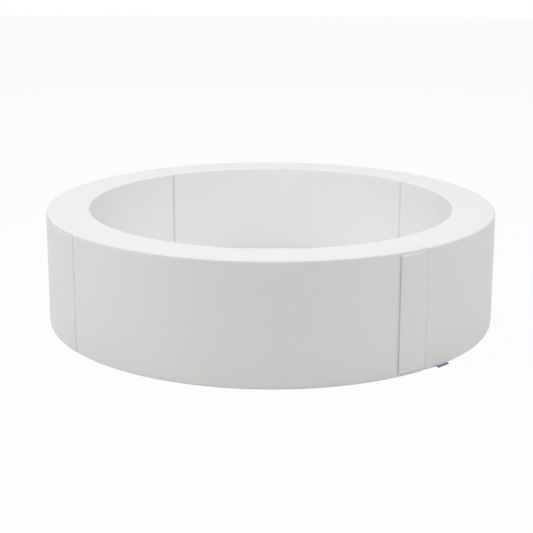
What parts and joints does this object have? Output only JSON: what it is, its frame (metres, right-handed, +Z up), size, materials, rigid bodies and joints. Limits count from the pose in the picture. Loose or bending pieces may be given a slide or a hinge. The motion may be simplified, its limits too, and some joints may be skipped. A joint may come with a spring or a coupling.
{
  "type": "foam ball pit",
  "caption": "Round padded ball pit: quarter-ring foam wall segments in zipped white covers, joined by lapped hook-and-loop flaps, around a floor mat.",
  "frame": {"origin": "centre of the ring, on the floor", "axes": "+Z up; the pit's front faces -Y, and +X is its right seen from the front"},
  "size_m": [1.5994, 1.5994, 0.4],
  "materials": {
    "vinyl": "smooth satin white synthetic leather",
    "foam": "open-cell upholstery foam",
    "tape": "woven white tape",
    "slider": "moulded white nylon",
    "label": "pale woven label with a plain dark stripe"
  },
  "bodies": {
    "ring": {"front_foam_core": "foam", "front_outer_panel": "vinyl", "front_inner_panel": "vinyl", "front_top_panel": "vinyl", "front_base_panel": "vinyl", "front_flap_end_panel": "vinyl", "front_plain_end_panel": "vinyl", "front_flap_welt": "vinyl", "front_loop_tape": "tape", "front_zip": "tape", "back_foam_core": "foam", "back_outer_panel": "vinyl", "back_inner_panel": "vinyl", "back_top_panel": "vinyl", "back_base_panel": "vinyl", "back_flap_end_panel": "vinyl", "back_plain_end_panel": "vinyl", "back_flap_welt": "vinyl", "back_loop_tape": "tape", "back_zip": "tape", "left_foam_core": "foam", "left_outer_panel": "vinyl", "left_inner_panel": "vinyl", "left_top_panel": "vinyl", "left_base_panel": "vinyl", "left_flap_end_panel": "vinyl", "left_plain_end_panel": "vinyl", "left_flap_welt": "vinyl", "left_loop_tape": "tape", "left_zip": "tape"},
    "gate": {"right_foam_core": "foam", "right_outer_panel": "vinyl", "right_inner_panel": "vinyl", "right_top_panel": "vinyl", "right_base_panel": "vinyl", "right_flap_end_panel": "vinyl", "right_plain_end_panel": "vinyl", "right_flap_welt": "vinyl", "right_loop_tape": "tape", "right_zip": "tape", "side_label": "label"},
    "front_flap_leaf": {"front_flap": "vinyl", "front_hook_tape": "tape"},
    "right_flap_leaf": {"right_flap": "vinyl", "right_hook_tape": "tape"},
    "back_flap_leaf": {"back_flap": "vinyl", "back_hook_tape": "tape"},
    "left_flap_leaf": {"left_flap": "vinyl", "left_hook_tape": "tape"},
    "mat": {"mat_foam": "foam", "mat_top_panel": "vinyl", "mat_side_band": "vinyl", "mat_base_panel": "vinyl", "mat_zip": "tape"},
    "front_slider": {"front_zip_slider": "slider"},
    "right_slider": {"right_zip_slider": "slider"},
    "back_slider": {"back_zip_slider": "slider"},
    "left_slider": {"left_zip_slider": "slider"},
    "mat_slider": {"mat_zip_slider": "slider"}
  },
  "joints": [
    {"name": "gate_swing", "type": "hinge", "parent": "ring", "child": "gate", "pos_m": [0.63718, 0.49082, 0.2], "axis": [0, 0, 1], "range_deg": [0, 85]},
    {"name": "right_flap_peel", "type": "hinge", "parent": "gate", "child": "right_flap_leaf", "pos_m": [0.49082, -0.63718, 0.2], "axis": [0, 0, 1], "range_deg": [0, 165]},
    {"name": "back_flap_peel", "type": "hinge", "parent": "gate", "child": "back_flap_leaf", "pos_m": [0.63718, 0.49082, 0.2], "axis": [0, 0, 1], "range_deg": [0, 85]},
    {"name": "front_flap_peel", "type": "hinge", "parent": "ring", "child": "front_flap_leaf", "pos_m": [-0.63718, -0.49082, 0.2], "axis": [0, 0, 1], "range_deg": [0, 165]},
    {"name": "left_flap_peel", "type": "hinge", "parent": "ring", "child": "left_flap_leaf", "pos_m": [-0.49082, 0.63718, 0.2], "axis": [0, 0, 1], "range_deg": [0, 165]},
    {"name": "mat_lift", "type": "slide", "parent": "ring", "child": "mat", "axis": [0, 0, 1], "range_m": [0, 0.45]},
    {"name": "front_zip_slide", "type": "hinge", "parent": "ring", "child": "front_slider", "pos_m": [0, 0, 0], "axis": [0, 0, 1], "range_deg": [0, 63]},
    {"name": "right_zip_slide", "type": "hinge", "parent": "gate", "child": "right_slider", "pos_m": [0, 0, 0], "axis": [0, 0, 1], "range_deg": [0, 63]},
    {"name": "back_zip_slide", "type": "hinge", "parent": "ring", "child": "back_slider", "pos_m": [0, 0, 0], "axis": [0, 0, 1], "range_deg": [0, 63]},
    {"name": "left_zip_slide", "type": "hinge", "parent": "ring", "child": "left_slider", "pos_m": [0, 0, 0], "axis": [0, 0, 1], "range_deg": [0, 63]},
    {"name": "mat_zip_slide", "type": "slide", "parent": "mat", "child": "mat_slider", "axis": [1, 0, 0], "range_m": [0, 0.86]}
  ]
}
